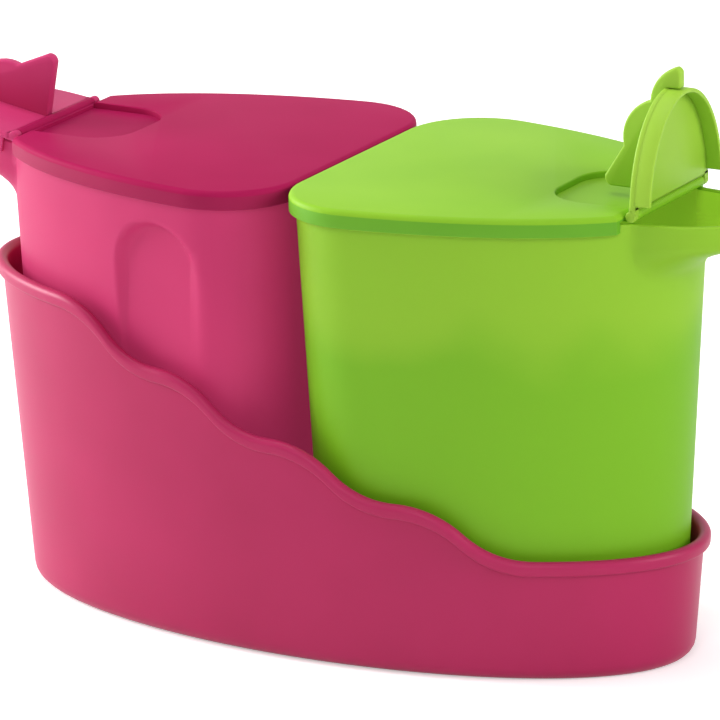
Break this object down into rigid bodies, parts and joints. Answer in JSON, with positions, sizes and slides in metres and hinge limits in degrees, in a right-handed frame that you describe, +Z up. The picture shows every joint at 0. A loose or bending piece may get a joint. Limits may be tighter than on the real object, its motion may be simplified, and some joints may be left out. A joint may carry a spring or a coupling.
{
  "type": "double dispenser",
  "caption": "Twin pouring dispenser: lidded half-oval containers with beak spouts and hinged flip caps, standing side by side in an oval cradle with a stepped rim.",
  "frame": {"origin": "middle of the cradle's underside, on the surface it stands on", "axes": "+X from the left container to the right one, -Y to the front, +Z up"},
  "size_m": [0.2601, 0.1096, 0.169],
  "materials": {
    "pink_plastic": "satin, slightly translucent moulded plastic",
    "green_plastic": "satin, slightly translucent moulded plastic"
  },
  "bodies": {
    "cradle": {"cradle": "pink_plastic"},
    "left_container": {"left_container": "pink_plastic"},
    "left_lid": {"left_lid": "pink_plastic"},
    "left_cap": {"left_cap": "pink_plastic"},
    "right_container": {"right_container": "green_plastic"},
    "right_lid": {"right_lid": "green_plastic"},
    "right_cap": {"right_cap": "green_plastic"}
  },
  "joints": [
    {"name": "left_container_lift", "type": "slide", "parent": "cradle", "child": "left_container", "axis": [0, 0, 1], "range_m": [0, 0.1]},
    {"name": "left_lid_lift", "type": "slide", "parent": "left_container", "child": "left_lid", "axis": [0, 0, 1], "range_m": [0, 0.04]},
    {"name": "left_cap_hinge", "type": "hinge", "parent": "left_lid", "child": "left_cap", "pos_m": [-0.0968, 0, 0.132], "axis": [0, 1, 0], "range_deg": [-10, 80]},
    {"name": "right_container_lift", "type": "slide", "parent": "cradle", "child": "right_container", "axis": [0, 0, 1], "range_m": [0, 0.1]},
    {"name": "right_lid_lift", "type": "slide", "parent": "right_container", "child": "right_lid", "axis": [0, 0, 1], "range_m": [0, 0.04]},
    {"name": "right_cap_hinge", "type": "hinge", "parent": "right_lid", "child": "right_cap", "pos_m": [0.0968, 0, 0.132], "axis": [0, 1, 0], "range_deg": [0, 90]}
  ]
}
